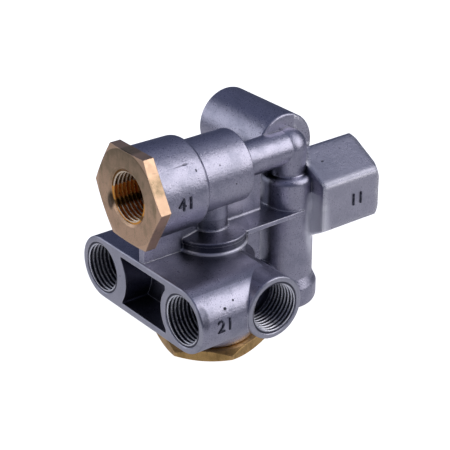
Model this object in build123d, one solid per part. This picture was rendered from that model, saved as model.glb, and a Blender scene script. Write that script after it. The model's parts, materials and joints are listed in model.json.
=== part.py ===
"""Parking brake control valve: an aluminium casting with brass connections.

Millimetres, +Z up. The origin is on the control port's axis, where its thread
starts. +X runs along that axis into the valve, +Y is the direction in which
the protection cylinder points away.
"""
from build123d import *
import os

os.makedirs("parts", exist_ok=True)

# Threads and fits
PORT_RADIUS = 8.53
PORT_FLARE = 0.25
RESERVOIR_THREAD_RADIUS = 10.6
RESERVOIR_FLARE = 1.1
SLIDING_GAP = 0.06
STATIC_GAP = 0.04
SEAL_GAP = 0.05
SEAL_SECTION = 0.8
SEAL_GROOVE_PLAY = 0.2
BORE_OVERLAP = 1.0

# Layout, measured from the relay axis and the height of the control axis
COLUMN_X = 31.4
RESERVOIR_Z = -18.5
DELIVERY_Z = -33.9
DELIVERY_SPACING = 42.7
FRONT_FACE_X = -27.0
SIDE_FACE_Y = 32.5

# Control branch
CONTROL_RADIUS = 14.6
CONTROL_DRAFT = 0.25
CONTROL_START_X = -26.9
CONTROL_SHOULDER_X = -9.6
CONTROL_SHOULDER_ROUND = 2.2
FILTER_RADIUS = 11.7
FILTER_END_X = 8.7
PIPE_RADIUS = 5.67
PIPE_BORE_RADIUS = 3.3
CONTROL_CHAMBER_RADIUS = 8.6
CONTROL_CHAMBER_END_X = 5.2
FILTER_LEDGE_X = -14.0
NIPPLE_BORE_RADIUS = 11.05
CONTROL_DRILLING_RADIUS = 3.0

# Control port nut
CONTROL_NUT_FLATS = 29.6
CONTROL_NUT_THICKNESS = 4.1
CONTROL_NUT_SPIGOT = 11.6
CONTROL_NUT_THREAD_DEPTH = 13.0
CONTROL_NUT_OUTLET_RADIUS = 6.2
CONTROL_NUT_BEVEL = 0.45
CONTROL_NUT_BEVEL_WIDTH = 2.5
CONTROL_FLARE = 0.8
CONTROL_FLARE_DEPTH = 0.6
NUT_BEVEL = 1.25
CONTROL_THREAD_X = CONTROL_START_X - CONTROL_NUT_THICKNESS + CONTROL_FLARE_DEPTH

# Column, its base and the elbow
COLUMN_RADIUS = 8.76
COLUMN_TOP_Z = -8.5
COLUMN_SHOULDER_ROUND = 2.2
ELBOW_RADIUS = 6.1
ELBOW_FOOT_FILLET = 0.5
BASE_RADIUS = 10.25
BASE_SLOPE_TOP_Z = -44.3
BASE_SLOPE_BOTTOM_Z = -47.7
COLUMN_BOTTOM_Z = -55.4
BASE_BOTTOM_ROUND = 3.4
COLUMN_BORE_RADIUS = 6.6
COLUMN_DRILLING_RADIUS = 4.3
COLUMN_SEAT_Z = -30.5
COLUMN_DRILLING_TOP_Z = -13.2
PLUG_BORE_RADIUS = 7.6
PLUG_LEDGE_Z = -47.6

# Protection cylinder
PROTECTION_RADIUS = 11.22
PROTECTION_Z = -0.9
PROTECTION_START_Y = 1.6
PROTECTION_END_Y = 32.1
PROTECTION_BORE_RADIUS = 8.2
PROTECTION_BORE_START_Y = 4.6
CAP_BORE_RADIUS = 8.9
CAP_LEDGE_Y = 26.4
PROTECTION_SEAT_RADIUS = 2.4
TRANSFER_RADIUS = 1.6
TRANSFER_Y = 5.6
EDGE_ROUND = 0.7

# Reservoir boss
RESERVOIR_FLATS = 28.0
RESERVOIR_START_X = 34.9
RESERVOIR_END_X = 58.9
RESERVOIR_EDGE_ROUND = 1.4
RESERVOIR_START_ROUND = 1.0
RESERVOIR_THREAD_DEPTH = 16.0
RESERVOIR_DRILLING_RADIUS = 5.6
RESERVOIR_END_WALL = 6.0
RESERVOIR_NECK_RADIUS = 8.6

# Delivery manifold
MANIFOLD_RADIUS = 10.55
MANIFOLD_BACK_X = 2.0
SIDE_BOSS_RADIUS = 10.3
DELIVERY_THREAD_DEPTH = 12.4
DELIVERY_DRILLING_RADIUS = 5.0
DELIVERY_RUN_OUT = 3.4
GALLERY_RADIUS = 2.9
GALLERY_X = -11.5
POCKET_DEPTH = 10.0
POCKET_HALF_WIDTH = 13.1
POCKET_TOP_Z = -25.4
POCKET_BOTTOM_Z = -42.1
POCKET_NEAR_RADIUS = 10.7
POCKET_FAR_RADIUS = 13.3
POCKET_CORNER = 0.5
MANIFOLD_EDGE_ROUND = 0.6

# Relay housing, its head plate and the webs
HOUSING_RADIUS = 14.3
HOUSING_BOTTOM_Z = -55.1
HOUSING_BORE_RADIUS = 12.0
HOUSING_BORE_TOP_Z = -29.2
NECK_RADIUS = 11.4
NECK_FOOT_FILLET = 0.7
PLATE_RIDGE_Z = -18.1
PLATE_TOP_Z = -19.3
PLATE_THICKNESS = 1.4
PLATE_RADIUS = 11.8
PLATE_HALF_WIDTH = 9.2
RELAY_BORE_RADIUS = 8.35
RELAY_BORE_TOP_Z = -21.4
CONTROL_NECK_RADIUS = 5.67
NECK_FILLET = 0.8
NECK_FILLET_SINK = 0.3
WEB_THICKNESS = 2.4
WEB_START_X = -26.2
WEB_END_X = 19.4
WEB_FILLET = 0.6
SUPPLY_DUCT_RADIUS = 5.67
SUPPLY_DUCT_BORE_RADIUS = 2.1
SUPPLY_DUCT_Z = -44.2

# Relay piston, seat cage and inlet valve
RELAY_PISTON_TOP_Z = -21.7
RELAY_PISTON_HEIGHT = 4.2
RELAY_STEM_RADIUS = 3.0
RELAY_CROWN_RADIUS = 4.4
RELAY_CROWN_DEPTH = 1.2
RELAY_CROWN_SLOPE = 0.8
RELAY_NOSE_DEPTH = 3.0
RELAY_STROKE = 1.8
CAGE_TOP_Z = -39.2
CAGE_BOTTOM_Z = -49.0
CAGE_SEAT_RADIUS = 4.2
CAGE_SEAT_Z = -41.2
CAGE_SEAT_LIP = 0.7
CAGE_WALL = 3.56
CAGE_PORT_RADIUS = 1.5
CAGE_PORT_COUNT = 6
CAGE_GROOVE_DEPTH = 1.2
CAGE_GROOVE_HALF_HEIGHT = 2.05
VALVE_FACE_GAP = 0.1
VALVE_RADIUS = 6.4
VALVE_RUBBER_THICKNESS = 1.4
VALVE_RUBBER_INNER_RADIUS = 2.1
VALVE_DISC_THICKNESS = 1.5
VALVE_STEM_RADIUS = 3.55
VALVE_STEM_BORE_RADIUS = 2.0
VALVE_STEM_BOTTOM_Z = -52.8

# Bottom cap nut and exhaust flap
BOTTOM_NUT_FLATS = 32.1
BOTTOM_NUT_TURN = -45.2
BOTTOM_NUT_BOTTOM_Z = -58.7
BOTTOM_NUT_SPIGOT_TOP_Z = -49.1
NUT_SPIGOT_WALL = 2.56
SPRING_POCKET_FLOOR_Z = -50.8
EXHAUST_CHAMBER_RADIUS = 6.6
EXHAUST_CHAMBER_TOP_Z = -52.4
EXHAUST_FLOOR_TOP_Z = -54.9
EXHAUST_FLOOR_BOTTOM_Z = -56.4
EXHAUST_RECESS_RADIUS = 9.6
EXHAUST_HOLE_RADIUS = 1.4
EXHAUST_HOLE_CIRCLE = 4.7
EXHAUST_HOLE_COUNT = 6
FLAP_RADIUS = 8.3
FLAP_THICKNESS = 1.0
FLAP_WASHER_RADIUS = 3.2
FLAP_WASHER_THICKNESS = 0.5
FLAP_SCREW_RADIUS = 1.25
FLAP_SCREW_HEAD_RADIUS = 2.3
FLAP_SCREW_HEAD_HEIGHT = 0.6


def axis_plane(x, y, z, direction):
    """A plane whose own Z runs along the turning axis."""
    return Plane(origin=(x, y, z), z_dir=direction)


RELAY_AXIS = axis_plane(0, 0, 0, (0, 0, 1))
CONTROL_AXIS = axis_plane(0, 0, 0, (1, 0, 0))
COLUMN_AXIS = axis_plane(COLUMN_X, 0, 0, (0, 0, 1))
PROTECTION_AXIS = axis_plane(COLUMN_X, 0, PROTECTION_Z, (0, 1, 0))
RESERVOIR_AXIS = axis_plane(0, 0, RESERVOIR_Z, (1, 0, 0))
FRONT_PORT_AXES = [
    axis_plane(0, side * DELIVERY_SPACING / 2, DELIVERY_Z, (1, 0, 0))
    for side in (-1, 1)
]
SIDE_PORT_AXES = [
    axis_plane(0, 0, DELIVERY_Z, (0, side, 0)) for side in (-1, 1)
]


def turned(axis, outline, rounds=()):
    """Turn an outline of (radius, distance along the axis) points.

    Each round is (radius, distance, size) and rounds the nearest corner.
    """
    sheet = Plane.XZ * make_face(Polyline(*[(r, d) for r, d in outline], close=True))
    for radius, distance, size in rounds:
        corner = min(
            sheet.vertices(),
            key=lambda v: (v.X - radius) ** 2 + (v.Z - distance) ** 2,
        )
        sheet = fillet_corner(sheet, corner, size)
    return axis * revolve(sheet, Axis.Z)


def fillet_corner(sheet, corner, size):
    return sheet.face().fillet_2d(size, [corner])


def bar(axis, radius, start, end, start_round=0, end_round=0):
    """A round bar between two distances along an axis."""
    rounds = []
    if start_round:
        rounds.append((radius, start, start_round))
    if end_round:
        rounds.append((radius, end, end_round))
    outline = [(0, start), (radius, start), (radius, end), (0, end)]
    return turned(axis, outline, rounds)


def ring(axis, inner, outer, start, end):
    outline = [(inner, start), (outer, start), (outer, end), (inner, end)]
    return turned(axis, outline)


def foot_fillet(axis, radius, level, size, side):
    """The fillet ring where a round neck meets a flat face."""
    corner = Polyline(
        (radius + size, level), (radius - 0.4, level), (radius - 0.4, level + side * size),
        (radius, level + side * size),
    )
    middle = (
        radius + size * (1 - 2 ** -0.5),
        level + side * size * (1 - 2 ** -0.5),
    )
    curve = ThreePointArc((radius, level + side * size), middle, (radius + size, level))
    sheet = Plane.XZ * make_face([*corner.edges(), curve.edge()])
    return axis * revolve(sheet, Axis.Z)


def hexagon_bar(axis, flats, start, end, turn=0, edge_round=0):
    """A hexagonal bar; turn is the angle of its first corner in degrees."""
    corner_radius = flats / 3 ** 0.5
    sheet = RegularPolygon(corner_radius, 6, rotation=turn)
    if edge_round:
        sheet = fillet(sheet.vertices(), edge_round)
    return axis * Pos(0, 0, start) * extrude(sheet, end - start)


def port_bore(axis, radius, mouth, depth, flare=PORT_FLARE, flare_depth=PORT_FLARE):
    """A threaded port's bore with its countersunk mouth, cut towards -axis."""
    outline = [
        (0, mouth + 1), (radius + flare, mouth + 1), (radius + flare, mouth),
        (radius, mouth - flare_depth), (radius, mouth - depth),
        (0, mouth - depth - radius * 0.25),
    ]
    return turned(axis, outline)


def seal_centre(bore_radius):
    return bore_radius - SEAL_GAP - SEAL_SECTION


def seal_ring(axis, bore_radius, along):
    return axis * Pos(0, 0, along) * Torus(seal_centre(bore_radius), SEAL_SECTION)


def seal_groove(axis, bore_radius, along):
    half = SEAL_SECTION + SEAL_GROOVE_PLAY
    bottom = seal_centre(bore_radius) - SEAL_SECTION - SEAL_GAP
    return ring(axis, bottom, bore_radius + 2, along - half, along + half)


def coil_spring(axis, radius, wire, start, end, turns):
    """A compression spring that fills the space between two seats."""
    height = end - start - wire
    path = Helix(pitch=height / turns, height=height, radius=radius)
    section = Plane(origin=path @ 0, z_dir=path % 0) * Circle(wire / 2)
    return axis * Pos(0, 0, start + wire / 2) * sweep(section, path=path)


# The casting

def control_branch():
    rim_radius = CONTROL_RADIUS - CONTROL_DRAFT
    body = turned(
        CONTROL_AXIS,
        [
            (0, CONTROL_START_X), (CONTROL_RADIUS, CONTROL_START_X),
            (rim_radius, CONTROL_SHOULDER_X), (0, CONTROL_SHOULDER_X),
        ],
        [(rim_radius, CONTROL_SHOULDER_X, CONTROL_SHOULDER_ROUND)],
    )
    body += bar(
        CONTROL_AXIS, FILTER_RADIUS, CONTROL_SHOULDER_X - 3, FILTER_END_X, end_round=EDGE_ROUND
    )
    body += bar(CONTROL_AXIS, PIPE_RADIUS, FILTER_END_X - 2, COLUMN_X)
    body += Pos(COLUMN_X, 0, 0) * Sphere(ELBOW_RADIUS)
    body += bar(COLUMN_AXIS, ELBOW_RADIUS, COLUMN_TOP_Z - 2, 0)
    body += foot_fillet(COLUMN_AXIS, ELBOW_RADIUS, COLUMN_TOP_Z, ELBOW_FOOT_FILLET, 1)
    return body


def column():
    outline = [
        (0, COLUMN_BOTTOM_Z), (BASE_RADIUS, COLUMN_BOTTOM_Z), (BASE_RADIUS, BASE_SLOPE_BOTTOM_Z),
        (COLUMN_RADIUS, BASE_SLOPE_TOP_Z), (COLUMN_RADIUS, COLUMN_TOP_Z), (0, COLUMN_TOP_Z),
    ]
    rounds = [
        (BASE_RADIUS, COLUMN_BOTTOM_Z, BASE_BOTTOM_ROUND),
        (BASE_RADIUS, BASE_SLOPE_BOTTOM_Z, 1.0),
        (COLUMN_RADIUS, COLUMN_TOP_Z, COLUMN_SHOULDER_ROUND),
    ]
    return turned(COLUMN_AXIS, outline, rounds)


def protection_cylinder():
    return bar(
        PROTECTION_AXIS, PROTECTION_RADIUS, PROTECTION_START_Y, PROTECTION_END_Y,
        EDGE_ROUND, EDGE_ROUND,
    )


def reservoir_boss():
    """The hexagonal boss has a corner at the top and one at the bottom."""
    boss = hexagon_bar(
        RESERVOIR_AXIS, RESERVOIR_FLATS, RESERVOIR_START_X, RESERVOIR_END_X,
        edge_round=RESERVOIR_EDGE_ROUND,
    )
    start_edges = boss.edges().filter_by_position(
        Axis.X, RESERVOIR_START_X - 0.1, RESERVOIR_START_X + 0.1
    )
    boss = fillet(start_edges, RESERVOIR_START_ROUND)
    corner = RESERVOIR_FLATS / 3 ** 0.5
    slope = turned(
        RESERVOIR_AXIS,
        [
            (0, RESERVOIR_START_X - 1), (corner + 0.1, RESERVOIR_START_X - 1),
            (corner + 0.1, RESERVOIR_END_X - 1.0), (corner - 1.2, RESERVOIR_END_X),
            (0, RESERVOIR_END_X),
        ],
    )
    neck = bar(RESERVOIR_AXIS, RESERVOIR_NECK_RADIUS, COLUMN_X, RESERVOIR_START_X + 1)
    return (boss & slope) + neck


def manifold():
    length = MANIFOLD_BACK_X - FRONT_FACE_X
    section = SlotCenterToCenter(DELIVERY_SPACING, 2 * MANIFOLD_RADIUS)
    face = Plane(
        origin=(FRONT_FACE_X, 0, DELIVERY_Z), x_dir=(0, 1, 0), z_dir=(1, 0, 0)
    )
    block = extrude(face * section, length)
    front_edges = block.edges().filter_by_position(Axis.X, FRONT_FACE_X - 0.1, FRONT_FACE_X + 0.1)
    block = fillet(front_edges, MANIFOLD_EDGE_ROUND)
    for axis in SIDE_PORT_AXES:
        block += bar(axis, SIDE_BOSS_RADIUS, 0, SIDE_FACE_Y, end_round=MANIFOLD_EDGE_ROUND)
    return block


def manifold_pocket():
    """The lightening pocket between the two front ports."""
    height = POCKET_TOP_Z - POCKET_BOTTOM_Z
    face = Plane(
        origin=(FRONT_FACE_X, 0, (POCKET_TOP_Z + POCKET_BOTTOM_Z) / 2),
        x_dir=(0, 1, 0), z_dir=(1, 0, 0),
    )
    sheet = Rectangle(2 * POCKET_HALF_WIDTH, height)
    for side, radius in ((-1, POCKET_NEAR_RADIUS), (1, POCKET_FAR_RADIUS)):
        sheet -= Pos(side * DELIVERY_SPACING / 2, DELIVERY_Z - face.origin.Z) * Circle(radius)
    sheet = fillet(sheet.vertices(), POCKET_CORNER)
    return extrude(face * sheet, POCKET_DEPTH)


def housing():
    body = bar(
        RELAY_AXIS, HOUSING_RADIUS, HOUSING_BOTTOM_Z, DELIVERY_Z + 5, start_round=EDGE_ROUND
    )
    body += bar(RELAY_AXIS, NECK_RADIUS, DELIVERY_Z, PLATE_TOP_Z - 0.5)
    body += foot_fillet(
        RELAY_AXIS, NECK_RADIUS, DELIVERY_Z + MANIFOLD_RADIUS, NECK_FOOT_FILLET, 1
    )
    body += bar(
        axis_plane(0, 0, SUPPLY_DUCT_Z, (1, 0, 0)), SUPPLY_DUCT_RADIUS, 0, COLUMN_X
    )
    return body


def head_plate():
    """The plate over the relay bore, carried on to the column; its top falls to the rim."""
    level = PLATE_TOP_Z - PLATE_THICKNESS
    disc = turned(
        RELAY_AXIS,
        [
            (0, level), (PLATE_RADIUS, level), (PLATE_RADIUS, PLATE_TOP_Z),
            (CONTROL_NECK_RADIUS, PLATE_RIDGE_Z), (0, PLATE_RIDGE_Z),
        ],
        [(PLATE_RADIUS, PLATE_TOP_Z, 0.3)],
    )
    across = Plane(origin=(0, 0, 0), x_dir=(0, 1, 0), z_dir=(1, 0, 0))
    roof = Polyline(
        (-PLATE_HALF_WIDTH, level), (PLATE_HALF_WIDTH, level), (PLATE_HALF_WIDTH, PLATE_TOP_Z),
        (0, PLATE_RIDGE_Z), (-PLATE_HALF_WIDTH, PLATE_TOP_Z), close=True,
    )
    strip = extrude(across * make_face(roof), COLUMN_X)
    neck = bar(RELAY_AXIS, CONTROL_NECK_RADIUS, level, 0)
    fillet_ring = foot_fillet(
        RELAY_AXIS, CONTROL_NECK_RADIUS, PLATE_RIDGE_Z - NECK_FILLET_SINK, NECK_FILLET, 1
    )
    return disc + strip + neck + fillet_ring


def webs():
    """The thin web on the parting plane; it ends short of the column."""
    front_foot = DELIVERY_Z + MANIFOLD_RADIUS
    front = Pos(WEB_START_X / 2, 0, front_foot / 2) * Box(-WEB_START_X, WEB_THICKNESS, -front_foot)
    rear = Pos(WEB_END_X / 2, 0, SUPPLY_DUCT_Z / 2) * Box(WEB_END_X, WEB_THICKNESS, -SUPPLY_DUCT_Z)
    return front + rear


def lines_on_web(casting, along_x, along_z):
    """Edges on the web's two faces whose middle lies in the given spans."""
    found = []
    for edge in casting.edges():
        on_face = all(abs(abs((edge @ t).Y) - WEB_THICKNESS / 2) < 0.02 for t in (0, 0.5, 1))
        middle = edge @ 0.5
        if on_face and along_x[0] < middle.X < along_x[1] and along_z[0] < middle.Z < along_z[1]:
            found.append(edge)
    return found


def cast_fillets(casting):
    """The fillets where the upper web meets the head plate and the pipe."""
    between = (CONTROL_NECK_RADIUS, WEB_END_X)
    slope = (PLATE_RIDGE_Z - PLATE_TOP_Z) / PLATE_HALF_WIDTH
    for level in (PLATE_RIDGE_Z - slope * WEB_THICKNESS / 2, -PIPE_RADIUS):
        casting = casting.fillet(
            WEB_FILLET, lines_on_web(casting, between, (level - 0.2, level + 0.2))
        )
    return casting


def control_bores():
    cuts = bar(CONTROL_AXIS, NIPPLE_BORE_RADIUS, CONTROL_START_X - 1, FILTER_LEDGE_X)
    cuts += bar(CONTROL_AXIS, CONTROL_CHAMBER_RADIUS, FILTER_LEDGE_X - 1, CONTROL_CHAMBER_END_X)
    cuts += bar(CONTROL_AXIS, PIPE_BORE_RADIUS, CONTROL_CHAMBER_END_X - 1, COLUMN_X)
    cuts += Pos(COLUMN_X, 0, 0) * Sphere(PIPE_BORE_RADIUS)
    cuts += bar(RELAY_AXIS, CONTROL_DRILLING_RADIUS, RELAY_BORE_TOP_Z - 0.5, -2)
    return cuts


def protection_bores():
    cuts = bar(
        PROTECTION_AXIS, PROTECTION_BORE_RADIUS, PROTECTION_BORE_START_Y, PROTECTION_END_Y + 1
    )
    cuts += bar(PROTECTION_AXIS, CAP_BORE_RADIUS, CAP_LEDGE_Y, PROTECTION_END_Y + 1)
    cuts += snap_groove(PROTECTION_AXIS, CAP_BORE_RADIUS, CAP_RING_Y)
    cuts += bar(PROTECTION_AXIS, PROTECTION_SEAT_RADIUS, 0, PROTECTION_BORE_START_Y + 1)
    transfer = axis_plane(COLUMN_X, TRANSFER_Y, 0, (0, 0, -1))
    cuts += bar(transfer, TRANSFER_RADIUS, 4, -COLUMN_DRILLING_TOP_Z + 1.5)
    return cuts


def column_bores():
    cuts = bar(COLUMN_AXIS, COLUMN_DRILLING_RADIUS, COLUMN_SEAT_Z - 1, COLUMN_DRILLING_TOP_Z)
    cuts += bar(COLUMN_AXIS, COLUMN_BORE_RADIUS, COLUMN_BOTTOM_Z - 1, COLUMN_SEAT_Z)
    cuts += bar(COLUMN_AXIS, PLUG_BORE_RADIUS, COLUMN_BOTTOM_Z - 1, PLUG_LEDGE_Z)
    cuts += snap_groove(COLUMN_AXIS, PLUG_BORE_RADIUS, PLUG_RING_Z)
    cuts += port_bore(
        RESERVOIR_AXIS, RESERVOIR_THREAD_RADIUS, RESERVOIR_END_X, RESERVOIR_THREAD_DEPTH,
        RESERVOIR_FLARE, RESERVOIR_FLARE,
    )
    cuts += bar(
        RESERVOIR_AXIS, RESERVOIR_DRILLING_RADIUS, COLUMN_X + BORE_OVERLAP,
        RESERVOIR_END_X - RESERVOIR_THREAD_DEPTH + RESERVOIR_END_WALL,
    )
    return cuts


def delivery_bores():
    cuts = manifold_pocket()
    for side in (-1, 1):
        port = axis_plane(0, side * DELIVERY_SPACING / 2, DELIVERY_Z, (-1, 0, 0))
        cuts += port_bore(port, PORT_RADIUS, -FRONT_FACE_X, DELIVERY_THREAD_DEPTH)
        cuts += bar(
            port, DELIVERY_DRILLING_RADIUS, -GALLERY_X - GALLERY_RADIUS,
            -FRONT_FACE_X - DELIVERY_THREAD_DEPTH + DELIVERY_RUN_OUT,
        )
    for axis in SIDE_PORT_AXES:
        cuts += port_bore(axis, PORT_RADIUS, SIDE_FACE_Y, DELIVERY_THREAD_DEPTH)
        cuts += bar(
            axis, DELIVERY_DRILLING_RADIUS, 0, SIDE_FACE_Y - DELIVERY_THREAD_DEPTH + DELIVERY_RUN_OUT
        )
    gallery = axis_plane(GALLERY_X, 0, DELIVERY_Z, (0, 1, 0))
    half = DELIVERY_SPACING / 2
    cuts += bar(gallery, GALLERY_RADIUS, -half, half)
    return cuts


def relay_bores():
    cuts = bar(RELAY_AXIS, HOUSING_BORE_RADIUS, HOUSING_BOTTOM_Z - 1, HOUSING_BORE_TOP_Z)
    cuts += bar(RELAY_AXIS, RELAY_BORE_RADIUS, HOUSING_BORE_TOP_Z - 1, RELAY_BORE_TOP_Z)
    cuts += bar(
        axis_plane(0, 0, SUPPLY_DUCT_Z, (1, 0, 0)), SUPPLY_DUCT_BORE_RADIUS,
        HOUSING_BORE_RADIUS - BORE_OVERLAP, COLUMN_X,
    )
    return cuts


def valve_body():
    casting = control_branch() + column() + protection_cylinder() + reservoir_boss()
    casting += manifold() + housing() + head_plate() + webs()
    casting = cast_fillets(casting)
    casting -= control_bores()
    casting -= protection_bores()
    casting -= column_bores()
    casting -= delivery_bores()
    casting -= relay_bores()
    return casting


# Retaining rings

SNAP_RING_THICKNESS = 0.9
SNAP_RING_WIDTH = 1.7
SNAP_RING_DEPTH = 0.7
CAP_RING_Y = 30.6
PLUG_RING_Z = -53.6


def snap_groove(axis, bore_radius, along):
    half = SNAP_RING_THICKNESS / 2 + 0.05
    return ring(axis, bore_radius - 1, bore_radius + SNAP_RING_DEPTH + 0.1, along - half, along + half)


def snap_ring(axis, bore_radius, along):
    """An internal retaining ring with its gap and two eyes."""
    half = SNAP_RING_THICKNESS / 2
    outer = bore_radius + SNAP_RING_DEPTH
    inner = outer - SNAP_RING_WIDTH
    band = ring(axis, inner, outer, along - half, along + half)
    gap = axis * Pos(outer, 0, along) * Box(2 * outer, 2.6, 2)
    eyes = Part()
    for side in (-1, 1):
        eye = Pos(inner + 0.1, side * 2.5, along - half) * extrude(Circle(1.25), 2 * half)
        hole = Pos(inner + 0.1, side * 2.5, along - half) * extrude(Circle(0.55), 2 * half)
        eyes += axis * (eye - hole)
        band -= axis * hole
    return (band - gap) + eyes


# Control connection

def control_port_nut():
    """Brass hexagon with the female port thread and a spigot into the casting."""
    front = CONTROL_START_X - CONTROL_NUT_THICKNESS
    spigot_end = CONTROL_START_X + CONTROL_NUT_SPIGOT
    spigot_radius = NIPPLE_BORE_RADIUS - STATIC_GAP
    hexagon = hexagon_bar(CONTROL_AXIS, CONTROL_NUT_FLATS, front, CONTROL_START_X, turn=30)
    corner = CONTROL_NUT_FLATS / 3 ** 0.5
    bevel = turned(
        CONTROL_AXIS,
        [
            (0, front), (corner - CONTROL_NUT_BEVEL_WIDTH, front),
            (corner + 0.1, front + CONTROL_NUT_BEVEL),
            (corner + 0.1, CONTROL_START_X), (0, CONTROL_START_X),
        ],
    )
    nut = (hexagon & bevel) + bar(CONTROL_AXIS, spigot_radius, CONTROL_START_X - 0.5, spigot_end)
    port = axis_plane(0, 0, 0, (-1, 0, 0))
    nut -= port_bore(
        port, PORT_RADIUS, -front, CONTROL_NUT_THREAD_DEPTH, CONTROL_FLARE, CONTROL_FLARE_DEPTH
    )
    nut -= bar(CONTROL_AXIS, CONTROL_NUT_OUTLET_RADIUS, front + BORE_OVERLAP, spigot_end + 1)
    nut -= seal_groove(CONTROL_AXIS, NIPPLE_BORE_RADIUS, CONTROL_SEAL_X)
    return nut


CONTROL_SEAL_X = -16.9
FILTER_FLANGE_THICKNESS = 1.1
FILTER_CUP_RADIUS = 6.4
FILTER_CUP_END_X = 0.6
FILTER_WALL = 1.2


def control_filter():
    """Sintered filter cup clamped between the nut's spigot and the ledge."""
    flange_start = FILTER_LEDGE_X - FILTER_FLANGE_THICKNESS
    outline = [
        (FILTER_CUP_RADIUS - FILTER_WALL, flange_start),
        (NIPPLE_BORE_RADIUS - 2 * STATIC_GAP, flange_start),
        (NIPPLE_BORE_RADIUS - 2 * STATIC_GAP, FILTER_LEDGE_X),
        (FILTER_CUP_RADIUS, FILTER_LEDGE_X),
        (FILTER_CUP_RADIUS - 0.6, FILTER_CUP_END_X),
        (0, FILTER_CUP_END_X),
        (0, FILTER_CUP_END_X - FILTER_WALL),
        (FILTER_CUP_RADIUS - 0.6 - FILTER_WALL, FILTER_CUP_END_X - FILTER_WALL),
    ]
    return turned(CONTROL_AXIS, outline)


# Protection valve

PROTECTION_PISTON_START_Y = 5.9
PROTECTION_PISTON_LENGTH = 7.0
PROTECTION_SEAL_Y = 9.4
PROTECTION_DISC_RADIUS = 3.9
PROTECTION_DISC_THICKNESS = 1.2
PROTECTION_STROKE = 3.0
PROTECTION_SPRING_RADIUS = 5.4
PROTECTION_SPRING_WIRE = 1.2
CAP_THICKNESS = 3.6
CAP_SEAL_Y = 28.0


def protection_piston():
    """Cup piston; its rubber disc closes the seat at the end of the bore."""
    radius = PROTECTION_BORE_RADIUS - SLIDING_GAP
    start = PROTECTION_PISTON_START_Y
    end = start + PROTECTION_PISTON_LENGTH
    outline = [
        (0, start), (radius, start), (radius, end), (radius - 1.3, end),
        (radius - 1.3, end - 2.0), (0, end - 2.0),
    ]
    piston = turned(PROTECTION_AXIS, outline)
    piston -= seal_groove(PROTECTION_AXIS, PROTECTION_BORE_RADIUS, PROTECTION_SEAL_Y)
    piston -= bar(
        PROTECTION_AXIS, PROTECTION_DISC_RADIUS, start - 1, start + PROTECTION_DISC_THICKNESS / 2
    )
    return piston


def protection_disc():
    start = PROTECTION_BORE_START_Y + VALVE_FACE_GAP
    end = PROTECTION_PISTON_START_Y + PROTECTION_DISC_THICKNESS / 2
    return bar(PROTECTION_AXIS, PROTECTION_DISC_RADIUS - STATIC_GAP, start, end)


def protection_spring():
    start = PROTECTION_PISTON_START_Y + PROTECTION_PISTON_LENGTH - 2.0
    return coil_spring(
        PROTECTION_AXIS, PROTECTION_SPRING_RADIUS, PROTECTION_SPRING_WIRE,
        start + 0.05, CAP_LEDGE_Y - 0.05, 5,
    )


def protection_cap():
    """End cap with a breather hole in its middle."""
    radius = CAP_BORE_RADIUS - STATIC_GAP
    end = CAP_RING_Y - SNAP_RING_THICKNESS / 2 - 0.05
    cap = bar(PROTECTION_AXIS, radius, CAP_LEDGE_Y, end)
    cap -= seal_groove(PROTECTION_AXIS, CAP_BORE_RADIUS, CAP_SEAL_Y)
    cap -= bar(PROTECTION_AXIS, 1.0, CAP_LEDGE_Y - 1, end + 1)
    cap -= bar(PROTECTION_AXIS, 3.0, end - 1.0, end + 1)
    return cap


# Reservoir check valve in the column

CHECK_VALVE_RADIUS = 5.9
CHECK_RUBBER_THICKNESS = 1.3
CHECK_DISC_THICKNESS = 1.8
CHECK_STEM_RADIUS = 2.2
CHECK_STEM_LENGTH = 6.0
CHECK_STROKE = 2.5
CHECK_SPRING_RADIUS = 4.2
CHECK_SPRING_WIRE = 0.9
PLUG_SEAL_Z = -50.2
PLUG_GUIDE_RADIUS = 2.3
PLUG_GUIDE_DEPTH = 3.4


def check_rubber():
    top = COLUMN_SEAT_Z - VALVE_FACE_GAP
    return bar(COLUMN_AXIS, CHECK_VALVE_RADIUS - 0.5, top - CHECK_RUBBER_THICKNESS, top)


def check_valve():
    """Poppet with a stem that carries its spring."""
    top = COLUMN_SEAT_Z - VALVE_FACE_GAP - CHECK_RUBBER_THICKNESS
    outline = [
        (0, top), (CHECK_VALVE_RADIUS, top), (CHECK_VALVE_RADIUS, top - CHECK_DISC_THICKNESS),
        (CHECK_STEM_RADIUS, top - CHECK_DISC_THICKNESS),
        (CHECK_STEM_RADIUS, top - CHECK_DISC_THICKNESS - CHECK_STEM_LENGTH),
        (0, top - CHECK_DISC_THICKNESS - CHECK_STEM_LENGTH),
    ]
    return turned(COLUMN_AXIS, outline)


def check_spring():
    top = COLUMN_SEAT_Z - VALVE_FACE_GAP - CHECK_RUBBER_THICKNESS - CHECK_DISC_THICKNESS
    return coil_spring(
        COLUMN_AXIS, CHECK_SPRING_RADIUS, CHECK_SPRING_WIRE, PLUG_LEDGE_Z + 0.05, top - 0.05, 6
    )


def column_plug():
    radius = PLUG_BORE_RADIUS - STATIC_GAP
    bottom = PLUG_RING_Z + SNAP_RING_THICKNESS / 2 + 0.05
    plug = bar(COLUMN_AXIS, radius, bottom, PLUG_LEDGE_Z)
    plug -= seal_groove(COLUMN_AXIS, PLUG_BORE_RADIUS, PLUG_SEAL_Z)
    plug -= bar(COLUMN_AXIS, 2.6, bottom - 1, bottom + 1.2)
    return plug


# Relay valve

RELAY_SEAL_Z = -24.0


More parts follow.
